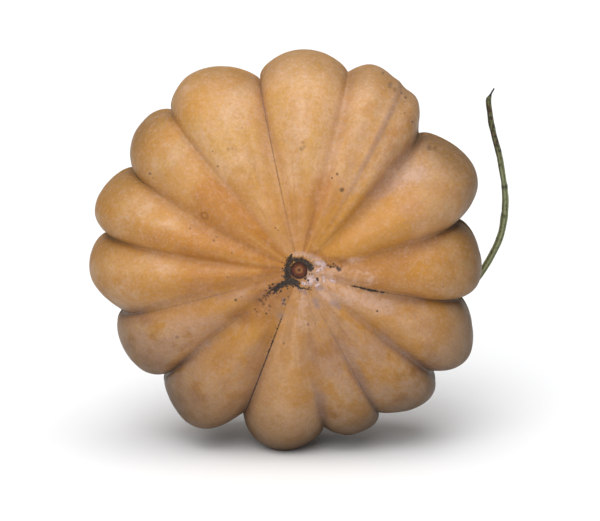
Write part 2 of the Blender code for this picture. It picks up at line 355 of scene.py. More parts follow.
# The nodes that the finishes are drawn with. Each row holds Blender's name of the node, its
# settings, the sockets that take its inputs, in order, and the output that is read.
FADE = ("ShaderNodeMapRange", {"interpolation_type": "SMOOTHSTEP"}, (0, 1, 2, 3, 4), 0)
RAMP = ("ShaderNodeMapRange", {}, (0, 1, 2, 3, 4), 0)
PLUS = ("ShaderNodeMath", {"operation": "ADD"}, (0, 1), 0)
MINUS = ("ShaderNodeMath", {"operation": "SUBTRACT"}, (0, 1), 0)
TIMES = ("ShaderNodeMath", {"operation": "MULTIPLY"}, (0, 1), 0)
DIVIDED = ("ShaderNodeMath", {"operation": "DIVIDE"}, (0, 1), 0)
LARGEST = ("ShaderNodeMath", {"operation": "MAXIMUM"}, (0, 1), 0)
ABSOLUTE = ("ShaderNodeMath", {"operation": "ABSOLUTE"}, (0,), 0)
SCALED = ("ShaderNodeVectorMath", {"operation": "MULTIPLY"}, (0, 1), 0)
DISTANCE = ("ShaderNodeVectorMath", {"operation": "DISTANCE"}, (0, 1), "Value")
LAYER = ("ShaderNodeMix", {"data_type": "RGBA"}, (0, 6, 7), 2)
NOISE = ("ShaderNodeTexNoise", {}, ("Vector", "Scale", "Detail", "Roughness"), 0)
CELLS = ("ShaderNodeTexVoronoi", {}, ("Vector", "Scale"), "Distance")
RED = ("ShaderNodeSeparateColor", {}, (0,), 0)
LEVEL = ("ShaderNodeSeparateXYZ", {}, (0,), "Z")
STRETCH = ("ShaderNodeMapping", {}, ("Vector", "Scale"), 0)
PLACE = ("ShaderNodeTexCoord", {}, (), "Object")
MARK = ("ShaderNodeAttribute", {}, (), "Fac")
TRACK = ("ShaderNodeAttribute", {}, (), "Vector")
BUMP = ("ShaderNodeBump", {}, ("Height", "Strength", "Distance"), 0)
SURFACE = ("ShaderNodeBsdfPrincipled", {}, ("Base Color", "Roughness", "IOR", "Normal"), 0)
OUTPUT = ("ShaderNodeOutputMaterial", {}, ("Surface",), None)


def add(tree, row, *inputs, **settings):
    """Adds one node and gives its output. Inputs are values, or outputs of other nodes. Those
    past the row's last socket go into more nodes like it, one after another."""
    kind, usual, sockets, output = row
    made = tree.nodes.new(kind)
    for name, value in {**usual, **settings}.items():
        setattr(made, name, value)
    for key, value in zip(sockets, inputs):
        socket = made.inputs[key]
        if isinstance(value, bpy.types.NodeSocket):
            tree.links.new(value, socket)
        else:
            socket.default_value = (*value, 1.0) if socket.type == "RGBA" else value
    if output is None:
        return None
    more = inputs[len(sockets) :]
    return add(tree, row, made.outputs[output], *more) if more else made.outputs[output]


def shake(tree, value, *noises):
    """The value made uneven by each (noise, amount)."""
    for noisy, amount in noises:
        value = add(tree, PLUS, value, add(tree, TIMES, add(tree, MINUS, noisy, 0.5), amount))
    return value


def coat(tree, under, top, *shares):
    """One colour over another, as strong as the product of the shares."""
    share = add(tree, TIMES, *shares) if len(shares) > 1 else shares[0]
    return add(tree, LAYER, share, under, top)


def blank_material(name):
    """A new material without nodes, and the functions above for its tree."""
    material = bpy.data.materials.new(name)
    material.use_nodes = True
    tree = material.node_tree
    tree.nodes.clear()
    return material, *(partial(step, tree) for step in (add, shake, coat))


def mix(a, b, share):
    """The value this share of the way from a to b."""
    return a + (b - a) * share


def smooth(low, high, value):
    """0 below low, 1 above high, and a smooth rise between."""
    share = np.clip((value - low) / (high - low), 0.0, 1.0)
    return share * share * (3 - 2 * share)


def ring_values(knots, angles):
    """Values at these angles of the smooth closed curve through (angle, value) knots."""
    at, values = np.array(knots).T
    turned = at[0] + (angles - at[0]) % 360.0
    index = np.searchsorted(at, turned, side="right") - 1
    around = np.concatenate([[at[-1] - 360.0], at, [at[0] + 360.0, at[1] + 360.0]])
    level = np.concatenate([[values[-1]], values, values[:2]])
    a0, a1, a2, a3 = (around[index + step] for step in range(4))
    v0, v1, v2, v3 = (level[index + step] for step in range(4))
    span = a2 - a1
    share = (turned - a1) / span
    slope_in = (v2 - v0) / (a2 - a0) * span
    slope_out = (v3 - v1) / (a3 - a1) * span
    return (
        v1 * (2 * share**3 - 3 * share**2 + 1)
        + slope_in * (share**3 - 2 * share**2 + share)
        + v2 * (3 * share**2 - 2 * share**3)
        + slope_out * (share**3 - share**2)
    )


def rib_columns(wanted):
    """For each column: its angle at the rim and near the scar, its rise from the groove to the
    crest and the softness of that rise, how hard it is pressed at the nearest groove, how far
    round it is from that groove, and how yellow it is."""
    rows = []
    for index, rib in enumerate(RIBS):
        after = RIBS[(index + 1) % len(RIBS)]
        turn = 360.0 if after.groove < rib.groove else 0.0
        end = after.groove + turn
        middle, half = (rib.groove + end) / 2, (end - rib.groove) / 2
        lean = max(-MOST_LEAN, min(MOST_LEAN, (rib.crest - middle) / half))
        count = round((end - rib.groove) * wanted / 360.0)
        for step in range(count):
            even = 2 * step / count - 1
            along = mix(even, math.sin(even * math.pi / 2), GATHERED)
            leaned = along - lean * (1 - along * along)
            share = (along + 1) / 2
            beside = RIBS[index - 1] if along < 0 else after
            rows.append(
                (
                    mix(rib.groove, end, share),
                    mix(rib.groove_inner, after.groove_inner + turn, share),
                    max(0.0, 1 - leaned * leaned),
                    mix(rib.soft_start, rib.soft_end, share),
                    rib.pressed if along < 0 else after.pressed,
                    math.radians(min(share, 1 - share) * (end - rib.groove)),
                    mix(rib.yellow, beside.yellow, 0.5 * abs(along) ** 6),
                )
            )
    return np.array(rows).T


def round_valley(bulge, width):
    """The bulge with its grooves rounded out over this share of a rib."""
    return (np.sqrt(bulge**2 + width**2) - width) / (np.sqrt(1 + width**2) - width)


def polar_rows(front_step, back_step):
    """Polar angles of the rows, close together at the scar."""
    rows = [0.25]
    while rows[-1] < 90.0:
        rim_share = float(smooth(3.0, 26.0, rows[-1]))
        rows.append(rows[-1] + mix(0.28, front_step, rim_share))
    while rows[-1] < LAST_ROW:
        rows.append(rows[-1] + back_step)
    return np.array([row for row in rows if row < LAST_ROW] + [LAST_ROW])


def seat_height():
    """Y of the flat floor of the stalk's cavity."""
    return STALK_DEPTH - CAVITY_DEPTH * math.exp(-((SEAT_RADIUS / CAVITY_RADIUS) ** 2))


def unribbed(reach, polar):
    """Radius, y and outward direction of the skin before its ribs, at each row and column."""
    blossom = polar <= 90.0
    depth = np.where(blossom, BLOSSOM_DEPTH, STALK_DEPTH)
    power = np.where(blossom, BLOSSOM_SQUARENESS, STALK_SQUARENESS)
    across = np.sin(np.radians(polar))
    along = np.abs(np.cos(np.radians(polar)))
    size = (across**power + along**power) ** (-1.0 / power)
    radius = reach * size * across
    y = depth * size * along
    out_r, out_y = across ** (power - 1) / reach, along ** (power - 1) / depth
    scale = np.hypot(out_r, out_y)
    out_r, out_y = out_r / scale, out_y / scale
    basin = BASIN_DEPTH * np.exp(-((radius / BASIN_RADIUS) ** 2))
    cavity = CAVITY_DEPTH * np.exp(-((np.maximum(radius, SEAT_RADIUS) / CAVITY_RADIUS) ** 2))
    y = np.where(blossom, basin - y, y - cavity)
    return radius, y, out_r, np.where(blossom, -out_y, out_y)


def scar_relief(radius, scar):
    """Height of the corky scar: a nub, a dished disc and a raised rim."""
    nub = 0.0009 * np.exp(-((radius / 0.0011) ** 2))
    ring = 0.0004 * np.exp(-(((radius - 0.5 * scar) / 0.0007) ** 2))
    rim = 0.0008 * np.exp(-(((radius - scar) / 0.0009) ** 2))
    dish = -0.0007 * (1 - smooth(0.6 * scar, scar, radius))
    return nub + ring + rim + dish


def strokes(paths, right, up):
    """How deep each point lies in the strokes: 1 on a centre line, 0 at an edge, down to -3."""
    depth = np.full_like(right, OFF_STROKES)
    for path in paths:
        for start, end in zip(path, path[1:] or path):
            (x0, z0, r0), (x1, z1, r1) = np.array((start, end)) / MM_IN_M
            span = np.array([x1 - x0, z1 - z0])
            local = (right - x0) * span[0] + (up - z0) * span[1]
            share = np.clip(local / max(float(span @ span), 1e-12), 0.0, 1.0)
            away = np.hypot(right - x0 - share * span[0], up - z0 - share * span[1])
            depth = np.maximum(depth, 1 - away / mix(r0, r1, share))
    return depth


def uneven(points, size):
    """Smooth noise at each point, with features of about this size in metres."""
    flat = (points.reshape(-1, 3) / size).tolist()
    return np.array([noise.noise(Vector(point)) for point in flat]).reshape(points.shape[:-1])


def set_attribute(mesh, name, values):
    """Stores a number or a vector on each point of the mesh."""
    kind, field = ("FLOAT_VECTOR", "vector") if values.ndim == 2 else ("FLOAT", "value")
    made = mesh.attributes.new(name, kind, "POINT")
    made.data.foreach_set(field, values.astype(np.float32).ravel())


def start_fresh(add_primitive, name):
    """Adds a primitive with nothing else selected, and names it."""
    bpy.ops.object.select_all(action="DESELECT")
    add_primitive()
    piece = bpy.context.object
    piece.name = piece.data.name = name
    return piece


def face_outwards(piece):
    """Turns all faces outwards and shades them smooth."""
    bpy.ops.object.mode_set(mode="EDIT")
    bpy.ops.mesh.select_all(action="SELECT")
    bpy.ops.mesh.normals_make_consistent(inside=False)
    bpy.ops.object.mode_set(mode="OBJECT")
    piece.data.shade_smooth()


def skin_material(look):
    """Ripe pumpkin rind: waxy and satin, tan with ochre flecks, with painted shade in the grooves,
    at the rim and on the underside.
    """
    material, put, shaken, coated = blank_material("ripe_rind")
    here = put(PLACE)
    along = put(TRACK, attribute_name="along")
    rib, off, zone, pale, warm, ripe, pressed = (
        put(MARK, attribute_name=name)
        for name in ("rib", "off", "zone", "pale", "warm", "yellow", "pressed")
    )
    marks = {name: put(MARK, attribute_name=name) for name in STROKES}

    # Cloudy patches a few centimetres wide and drawn out along the ribs, mottling of two
    # centimetres, flecks and grain of a few millimetres, and soft streaks that gather towards the
    # scar.
    clouds = put(NOISE, here, MM_IN_M / 62, 2, 0.5)
    drift = put(NOISE, put(STRETCH, along, (7.0, 7.0, 4.0)), 1.0, 3, 0.55)
    mottle = put(NOISE, here, MM_IN_M / 19, 3, 0.6)
    fleck = put(NOISE, here, MM_IN_M / 6.5, 3, 0.6)
    speckle = put(NOISE, here, MM_IN_M / 2.8, 3, 0.8)
    fine = put(NOISE, here, MM_IN_M / 2.4, 2, 0.6)
    ragged = put(NOISE, here, MM_IN_M / 2.0, 5, 0.75)
    streak = put(NOISE, put(STRETCH, along, (7.5, 7.5, 1.3)), 1.0, 4, 0.55)

    level = put(LEVEL, here)
    across = level.node.outputs["X"]

    # Tan and cream patches, and ochre ones that are strongest on the yellow ribs.
    patchy = shaken(drift, (clouds, 0.9), (mottle, 0.5), (fleck, 0.25))
    skin = put(LAYER, put(FADE, patchy, 0.34, 0.66), look.tan, look.cream)
    golden = shaken(mottle, (drift, -0.7), (clouds, 0.4), (fleck, 0.4))
    golden = put(PLUS, golden, put(FADE, ripe, 0.3, 1.0, -0.04, 0.17))
    skin = coated(
        skin,
        look.ochre,
        put(FADE, golden, 0.42, 0.70),
        put(FADE, ripe, 0.3, 1.0, 0.54, 0.98),
        put(FADE, level, AXIS_Z + 0.03, AXIS_Z + 0.09, 1.0, 0.70),
    )

    # The skin round the scar is a deeper ochre and streaky, with an uneven edge.
    reaches = shaken(zone, (clouds, 0.9), (mottle, 0.25))
    reaches = put(MINUS, reaches, put(FADE, ripe, 0.3, 1.0, 0.0, 0.16))
    reaches = put(PLUS, reaches, put(FADE, pale, 0.1, 0.9, 0.0, 0.12))
    inner = put(FADE, reaches, 0.64, 0.42)
    skin = coated(skin, look.amber, inner, warm, put(FADE, pale, 0.3, 0.9, 1.0, 0.64), 0.86)
    streaks = shaken(streak, (mottle, 0.35), (fleck, 0.15))
    near = put(FADE, zone, 0.80, 0.14, 0.14, 0.58)
    skin = coated(skin, look.tan, put(FADE, streaks, 0.50, 0.72), near)
    skin = coated(skin, look.brown, put(FADE, streaks, 0.52, 0.30), near, 0.8)

    skin = coated(
        skin,
        look.pink,
        put(FADE, shaken(patchy, (fine, 0.2)), 0.68, 0.36),
        put(FADE, pale, 0.6, -0.6, 0.1, 0.75),
        put(FADE, ripe, 0.5, 0.9, 1.0, 0.35),
        put(FADE, zone, 0.15, 0.50, 0.50, 1.0),
    )
    gilded = shaken(marks["gilded"], (streak, 1.1), (mottle, 0.4))
    skin = coated(skin, look.gold, put(FADE, gilded, -0.10, 0.14), 0.64)

    # The lower ribs are the most blotched: ochre and dull brown over the pink.
    blotched = put(FADE, pale, 0.3, -0.5)
    ochres = put(FADE, shaken(mottle, (drift, 0.9), (clouds, 0.6), (fleck, 0.3)), 0.46, 0.68)
    skin = coated(skin, look.ochre, ochres, blotched, 0.80)
    browns = put(FADE, shaken(mottle, (drift, -0.9), (fleck, 0.3)), 0.48, 0.74)
    skin = coated(skin, look.russet, browns, blotched, 0.42)
    browned = put(FADE, shaken(marks["browned"], (mottle, 1.2), (streak, 1.6)), -0.6, 0.7)
    skin = coated(skin, look.russet, browned, 0.62)

    # Painted shade in the grooves: russet near the scar, and pinkish brown further out.
    groove_shade = put(FADE, rib, 0.45, 0.0)
    skin = coated(skin, look.russet, groove_shade, put(FADE, zone, 0.75, 0.25, 0.0, 0.18))
    groove_shade = put(TIMES, groove_shade, put(FADE, zone, 0.25, 0.75, 0.0, 0.85))
    skin = coated(skin, look.pink, groove_shade, put(FADE, ripe, 0.3, 0.75, 0.50, 0.15))
    skin = coated(skin, look.brown, groove_shade, 0.36)
    skin = coated(skin, look.stain, groove_shade, blotched, 0.42)

    bands = put(FADE, shaken(marks["band"], (mottle, 1.6), (drift, 1.2)), -0.5, 0.8)
    skin = coated(skin, look.ochre, bands, 0.58)
    bleached = put(FADE, shaken(marks["bleach"], (mottle, 2.6), (fine, 1.0)), -0.35, 0.85)
    uneven_share = put(FADE, shaken(patchy, (fleck, 0.8)), 0.30, 0.58, 0.25, 0.75)
    skin = coated(skin, look.bleach, bleached, uneven_share)
    # Painted shade round the rim, strongest at the rim itself and weaker at the top and on the far
    # left.
    skin = coated(
        skin,
        look.rim_shade,
        put(FADE, shaken(zone, (clouds, 0.15)), 0.84, 1.02),
        put(FADE, zone, 1.02, 1.22, 1.0, 0.2),
        put(FADE, level, AXIS_Z + 0.10, AXIS_Z + 0.15, 0.85, 0.50),
        put(FADE, across, AXIS_X - 0.18, AXIS_X - 0.12, 0.45, 1.0),
    )

    # A fine grain of pale and yellow flecks runs over the whole skin.
    calmer = put(FADE, zone, 0.20, 0.80, 0.30, 1.0)
    skin = coated(skin, look.pink, put(FADE, fleck, 0.50, 0.68, 0.0, 0.28))
    skin = coated(skin, look.ochre, put(FADE, fleck, 0.48, 0.30, 0.0, 0.26))
    skin = coated(skin, look.bleach, put(FADE, speckle, 0.50, 0.66, 0.0, 0.34), calmer)
    skin = coated(skin, look.ochre, put(FADE, speckle, 0.50, 0.34, 0.0, 0.40))

    # Painted shade: the skin is darker towards the underside and towards the rim, where less light
    # falls.
    height_shade = put(FADE, shaken(level, (clouds, 0.06)), 0.02, 0.22, 0.72, 0.945)
    # Ribs with paler skin get a little less of this painted shade, and pinker ones a little more.
    height_shade = put(PLUS, height_shade, put(FADE, pale, -0.6, 0.6, -0.06, 0.06))
    # Painted shade towards the rim, strongest low down and weaker on the far left and on the back.
    sides = put(
        TIMES,
        put(FADE, zone, 0.62, 1.0, 0.0, 0.42),
        put(FADE, level, AXIS_Z + 0.16, AXIS_Z + 0.05),
        put(FADE, zone, 1.02, 1.22, 1.0, 0.3),
        put(FADE, across, AXIS_X - 0.17, AXIS_X - 0.10, 0.5, 1.0),
    )
    # Painted shade on the underside, towards the rim.
    low = put(FADE, level, AXIS_Z - 0.02, AXIS_Z - 0.11)
    low = put(TIMES, low, put(FADE, zone, 0.60, 1.0, 0.0, 0.20))
    grained = put(FADE, shaken(fine, (fleck, 0.6)), 0.30, 0.70, 0.94, 1.05)
    value = put(TIMES, height_shade, put(MINUS, 1.0, sides), put(MINUS, 1.0, low), grained)
    skin = put(SCALED, skin, value)

    # Painted shade: a dark line in the crease where two ribs press together.
    crease_shade_line = put(FADE, shaken(off, (fine, 0.0008)), 0.0010, 0.0001)
    open_share = put(FADE, zone, 0.18, 0.45, 0.20, 1.0)
    skin = coated(skin, look.crease_shade, crease_shade_line, pressed, pressed, open_share)

    # Small brown specks, each a cell's own dot, in only some of the cells. A second, finer layer
    # lies only where the skin is grimy.
    specks = 0.0
    grimy = put(FADE, shaken(marks["grimy"], (mottle, 1.6)), -0.3, 0.4)
    for cell_mm, rarest, largest, where in ((11, 0.60, 0.070, 1.0), (3.4, 0.25, 0.26, grimy)):
        from_middle = put(CELLS, here, MM_IN_M / cell_mm)
        rare = put(RED, from_middle.node.outputs["Color"])
        radius = put(FADE, rare, rarest, 1.0, 0.015, largest)
        dots = put(FADE, put(RAMP, from_middle, 0.0, radius, 1.0, 0.0), 0.0, 0.5)
        dots = put(TIMES, dots, put(FADE, rare, rarest - 0.02, rarest + 0.02), where)
        specks = put(LARGEST, dots, specks)
    skin = coated(skin, look.speck, specks, 0.7)

    # The larger marks have ragged, crumbly edges, and loose crumbs lie round the earth.
    stained = put(FADE, shaken(marks["stain"], (ragged, 1.4), (mottle, 1.4)), -0.8, 1.3)
    skin = coated(skin, look.stain, stained, 0.60)
    flaked = put(FADE, shaken(marks["flake"], (ragged, 4.4), (speckle, 2.6)), 0.05, 0.50)
    skin = coated(skin, look.flake, flaked, 0.82)
    from_middle = put(CELLS, here, MM_IN_M / 2.3)
    rare = put(RED, from_middle.node.outputs["Color"])
    outward = put(DIVIDED, from_middle, put(FADE, rare, 0.40, 1.0, 0.05, 0.46))
    loose = put(
        TIMES,
        put(FADE, outward, 1.0, 0.6),
        put(FADE, rare, 0.40, 0.46),
        put(FADE, shaken(marks["soil"], (fleck, 3.0)), -1.9, -0.7),
    )
    soiled = put(FADE, shaken(marks["soil"], (ragged, 3.8), (speckle, 2.0)), -0.20, 0.20)
    soiled = put(LARGEST, soiled, loose)
    crumbly = put(LAYER, put(FADE, ragged, 0.48, 0.66, 0.0, 0.32), look.soil, look.stain)
    skin = coated(skin, crumbly, soiled, 0.94)

    # The blossom scar: pale cork in the middle, dark at its edge and its centre.
    away = put(DISTANCE, here, (AXIS_X, BASIN_DEPTH - BLOSSOM_DEPTH, AXIS_Z))
    reach = put(DIVIDED, shaken(away, (ragged, 0.0026), (fleck, 0.0016)), look.scar_radius)
    cork = put(LAYER, put(FADE, reach, 0.34, 0.56), look.scar_pale, look.scar)
    cork = coated(cork, look.scar_rim, put(FADE, reach, 0.62, 0.90))
    cork = coated(cork, look.scar_rim, put(FADE, reach, 0.22, 0.08), 0.85)
    cork = coated(cork, look.scar_pale, put(FADE, speckle, 0.50, 0.70, 0.0, 0.35))
    disc = put(FADE, reach, 1.06, 0.94)
    skin = coated(skin, cork, disc)

    # Single spots and one ring-shaped scab, seen straight on from the blossom side.
    flat = put(SCALED, here, (1.0, 0.0, 1.0))
    front = put(FADE, zone, 1.02, 1.0)
    rough = put(TIMES, put(MINUS, ragged, 0.5), 0.003)
    spots = 0.0
    for x, z, radius, dark in SPOTS:
        off_centre = put(DISTANCE, flat, (AXIS_X + x / MM_IN_M, 0.0, AXIS_Z + z / MM_IN_M))
        off_centre = put(PLUS, off_centre, rough)
        inner, outer = 0.4 * radius / MM_IN_M, 1.1 * radius / MM_IN_M
        spots = put(LARGEST, put(FADE, off_centre, outer, inner, 0.0, dark), spots)
    skin = coated(skin, look.speck, spots, front)
    x, z, radius = RING_SCAB
    off_centre = put(DISTANCE, flat, (AXIS_X + x / MM_IN_M, 0.0, AXIS_Z + z / MM_IN_M))
    off_ring = put(ABSOLUTE, put(MINUS, off_centre, 0.85 * radius / MM_IN_M))
    skin = coated(skin, look.brown, put(FADE, off_ring, 0.0015, 0.0002), front, 0.6)

    # The wax is thinnest on the marks, which are dry.
    dry = put(LARGEST, flaked, disc, soiled)
    roughness = put(PLUS, put(FADE, mottle, 0.3, 0.7, 0.48, 0.60), put(TIMES, dry, 0.3))
    relief = put(
        PLUS,
        put(TIMES, mottle, 0.00045),
        put(TIMES, fleck, 0.00012),
        put(TIMES, streak, 0.00012),
        put(TIMES, dry, ragged, 0.0010),
        put(TIMES, specks, -0.00025),
    )
    put(OUTPUT, put(SURFACE, skin, roughness, PLANT_IOR, put(BUMP, relief, 0.8, 1.0)))
    return material


def stalk_material(look):
    """Dried stalk: matt, stringy grey-green bark with pale ridges and dark cracks."""
    material, put, _, coated = blank_material("dried_stalk")
    here = put(PLACE)
    bark_track = put(TRACK, attribute_name="bark")
    age, knuckle, ridge = (put(MARK, attribute_name=name) for name in ("age", "node", "ridge"))

    # Fibres run along the stalk, with dark cracks of a few millimetres between them, and the old
    # end is mottled brown and black.
    fibres = put(NOISE, bark_track, 1.0, 4)
    blotch = put(NOISE, here, MM_IN_M / 5, 3)
    rot = put(NOISE, here, MM_IN_M / 3.2, 2)
    bark = put(LAYER, put(TIMES, put(FADE, ridge, 0.3, 1.0), 0.5), look.green, look.pale)
    bark = coated(bark, look.olive, age, 0.75)
    bark = coated(bark, look.brown, put(FADE, blotch, 0.48, 0.60), age, 0.9)
    decay = put(FADE, rot, 0.54, 0.64)
    bark = coated(bark, look.dark, decay, put(FADE, age, 0.0, 1.0, 0.25, 0.85))
    cracks = put(FADE, put(PLUS, fibres, put(TIMES, age, 0.05)), 0.54, 0.68)
    bark = coated(bark, look.dark, cracks, 0.7)
    bark = coated(bark, look.dark, put(FADE, ridge, 0.40, 0.0), 0.5)
    bark = coated(bark, look.dark, put(FADE, knuckle, 0.25, 0.8), 0.85)
    bump = put(BUMP, put(TIMES, fibres, 0.0008), 0.9, 1.0)
    put(OUTPUT, put(SURFACE, bark, 0.78, PLANT_IOR, bump))
    return material


def floor_material(look):
    """Matt painted studio floor, pale and very slightly uneven."""
    material, put, *_ = blank_material("studio_floor")
    shade = put(RAMP, put(NOISE, put(PLACE), 3.0, 2), 0.3, 0.7, 0.985, 1.0)
    paint = put(LAYER, shade, (0.8, 0.8, 0.8), look.floor)
    put(OUTPUT, put(SURFACE, paint, 0.9))
    return material


def grow_skin(look):
    """The points of the fruit's skin, in rows from the scar and columns round the axis, and what
    is painted on each of them."""
    rim_angle, inner_angle, rise, softness, pressed, away, yellow = rib_columns(look.columns)
    polar = polar_rows(look.front_step, look.back_step)
    reach = ring_values([(rib.crest, rib.reach) for rib in RIBS], rim_angle)
    depth = reach - ring_values([(rib.groove, rib.floor) for rib in RIBS], rim_angle)
    pale = ring_values([(rib.crest, rib.pale) for rib in RIBS], rim_angle)

    grid_polar = np.repeat(polar[:, None], len(rim_angle), axis=1)
    radius, y, out_r, out_y = unribbed(reach[None, :], grid_polar)
    blossom = grid_polar <= 90.0
    part = np.minimum(1.0, radius / reach)

    # Grooves open out towards the scar, and the hard-pressed ones stay sharp for longest.
    starts = mix(0.80, 0.25, pressed)[None, :]
    beyond = 1 - 0.2 * smooth(90.0, 115.0, grid_polar)
    tight = np.where(blossom, smooth(starts, starts + 0.30, part), beyond)
    softest = np.where(blossom, np.maximum(softness, 1.2), softness)
    bulge = rise ** mix(softest, softness, smooth(0.35, 0.92, part))
    bulge = round_valley(bulge, mix(0.40, 0.02, tight))
    growth = np.where(blossom, GROOVE_GROWTH_BLOSSOM, GROOVE_GROWTH_STALK)
    at_seat = np.clip(1 - SEAT_RADIUS / np.maximum(radius, 1e-6), 0, 1)
    fade = np.where(blossom, mix(0.45, 1.0, smooth(0.05, 0.40, part)), at_seat)
    cut = depth[None, :] * (1 - bulge) * part**growth * fade
    blend = np.where(blossom, part, 1.0)
    angle = np.radians(mix(inner_angle[None, :], rim_angle[None, :], blend))

    bare = np.stack([radius * np.sin(angle), y, radius * np.cos(angle)], axis=-1)
    still = smooth(0.010, 0.030, radius) * np.where(blossom, 1.0, smooth(0.02, 0.04, radius))
    lift = (look.swell * uneven(bare, 0.045) + look.dimple * uneven(bare, 0.013)) * still
    lift += np.where(blossom, scar_relief(radius, look.scar_radius), 0.0)
    radius = radius + (lift - cut) * out_r
    y = y + (lift - cut) * out_y
    right, up = radius * np.sin(angle), radius * np.cos(angle)
    points = np.stack([AXIS_X + right, y, np.maximum(AXIS_Z + up, 0.0)], axis=-1)

    depths = {
        name: np.where(blossom, strokes(paths, right, up), OFF_STROKES)
        for name, paths in (*STROKES.items(), ("crumbs", CRUMBS))
    }
    depths["soil"] = np.maximum(depths["soil"], depths.pop("crumbs") - CRUMBS_BELOW)
    whole = np.ones_like(radius)
    painted = {
        "rib": bulge,
        "off": away[None, :] * radius,
        "zone": np.where(blossom, part, 1.0 + (grid_polar - 90.0) / 90.0),
        "pale": pale[None, :] * whole,
        "warm": mix(0.30, 1.0, smooth(-0.048, 0.008, up - 0.2 * right)),
        "yellow": yellow[None, :] * whole,
        "pressed": pressed[None, :] * whole,
        "along": np.stack([np.sin(angle), np.cos(angle), np.radians(grid_polar)], axis=-1),
        **depths,
    }
    return points, painted


class PUMPKIN_OT_fruit(bpy.types.Operator):
    """Grows the ribbed skin, with its scar and its marks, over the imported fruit"""

    bl_idname = "pumpkin.fruit"
    bl_label = "Grow the fruit"

    def execute(self, context):
        look = context.scene.pumpkin_skin
        points, painted = grow_skin(look)
        rows, columns = points.shape[:2]
        fruit = start_fresh(
            lambda: bpy.ops.mesh.primitive_uv_sphere_add(
                segments=columns, ring_count=rows + 1, radius=1.0
            ),
            "fruit_skin",
        )

        # The sphere's own rings and columns say which point of the skin each of its points
        # becomes.
        ball = np.array([vertex.co for vertex in fruit.data.vertices])
        ring = np.rint(np.arccos(np.clip(ball[:, 2], -1, 1)) / math.pi * (rows + 1)).astype(int)
        turn = np.rint(np.arctan2(ball[:, 1], ball[:, 0]) / (2 * math.pi) * columns).astype(int)
        turn %= columns
        ring_at = np.clip(ring - 1, 0, rows - 1)
        placed = points[ring_at, turn]
        nub = scar_relief(0.0, look.scar_radius)
        placed[ring == 0] = (AXIS_X, BASIN_DEPTH - BLOSSOM_DEPTH - nub, AXIS_Z)
        placed[ring == rows + 1] = (AXIS_X, seat_height(), AXIS_Z)
        fruit.data.vertices.foreach_set("co", placed.astype(np.float32).ravel())
        for name, values in painted.items():
            set_attribute(fruit.data, name, values[ring_at, turn])
        face_outwards(fruit)
        fruit.data.materials.append(skin_material(look))
        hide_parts("fruit")
        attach(fruit, "root")
        return {"FINISHED"}


def stalk_centre(share):
    """The stalk's centre line, a smooth curve through its seat and its route points."""
    route = ((0.0, seat_height() + SEAT_GAP, 0.0), *STALK_ROUTE)
    count = len(route) - 1
    at = min(share * count, count - 1e-6)
    index = int(at)
    local = at - index
    picked = [route[max(0, min(count, index + step))] for step in (-1, 0, 1, 2)]
    p0, p1, p2, p3 = (Vector(point) for point in picked)
    return 0.5 * (
        2 * p1
        + (p2 - p0) * local
        + (2 * p0 - 5 * p1 + 4 * p2 - p3) * local**2
        + (3 * p1 - p0 - 3 * p2 + p3) * local**3
    )


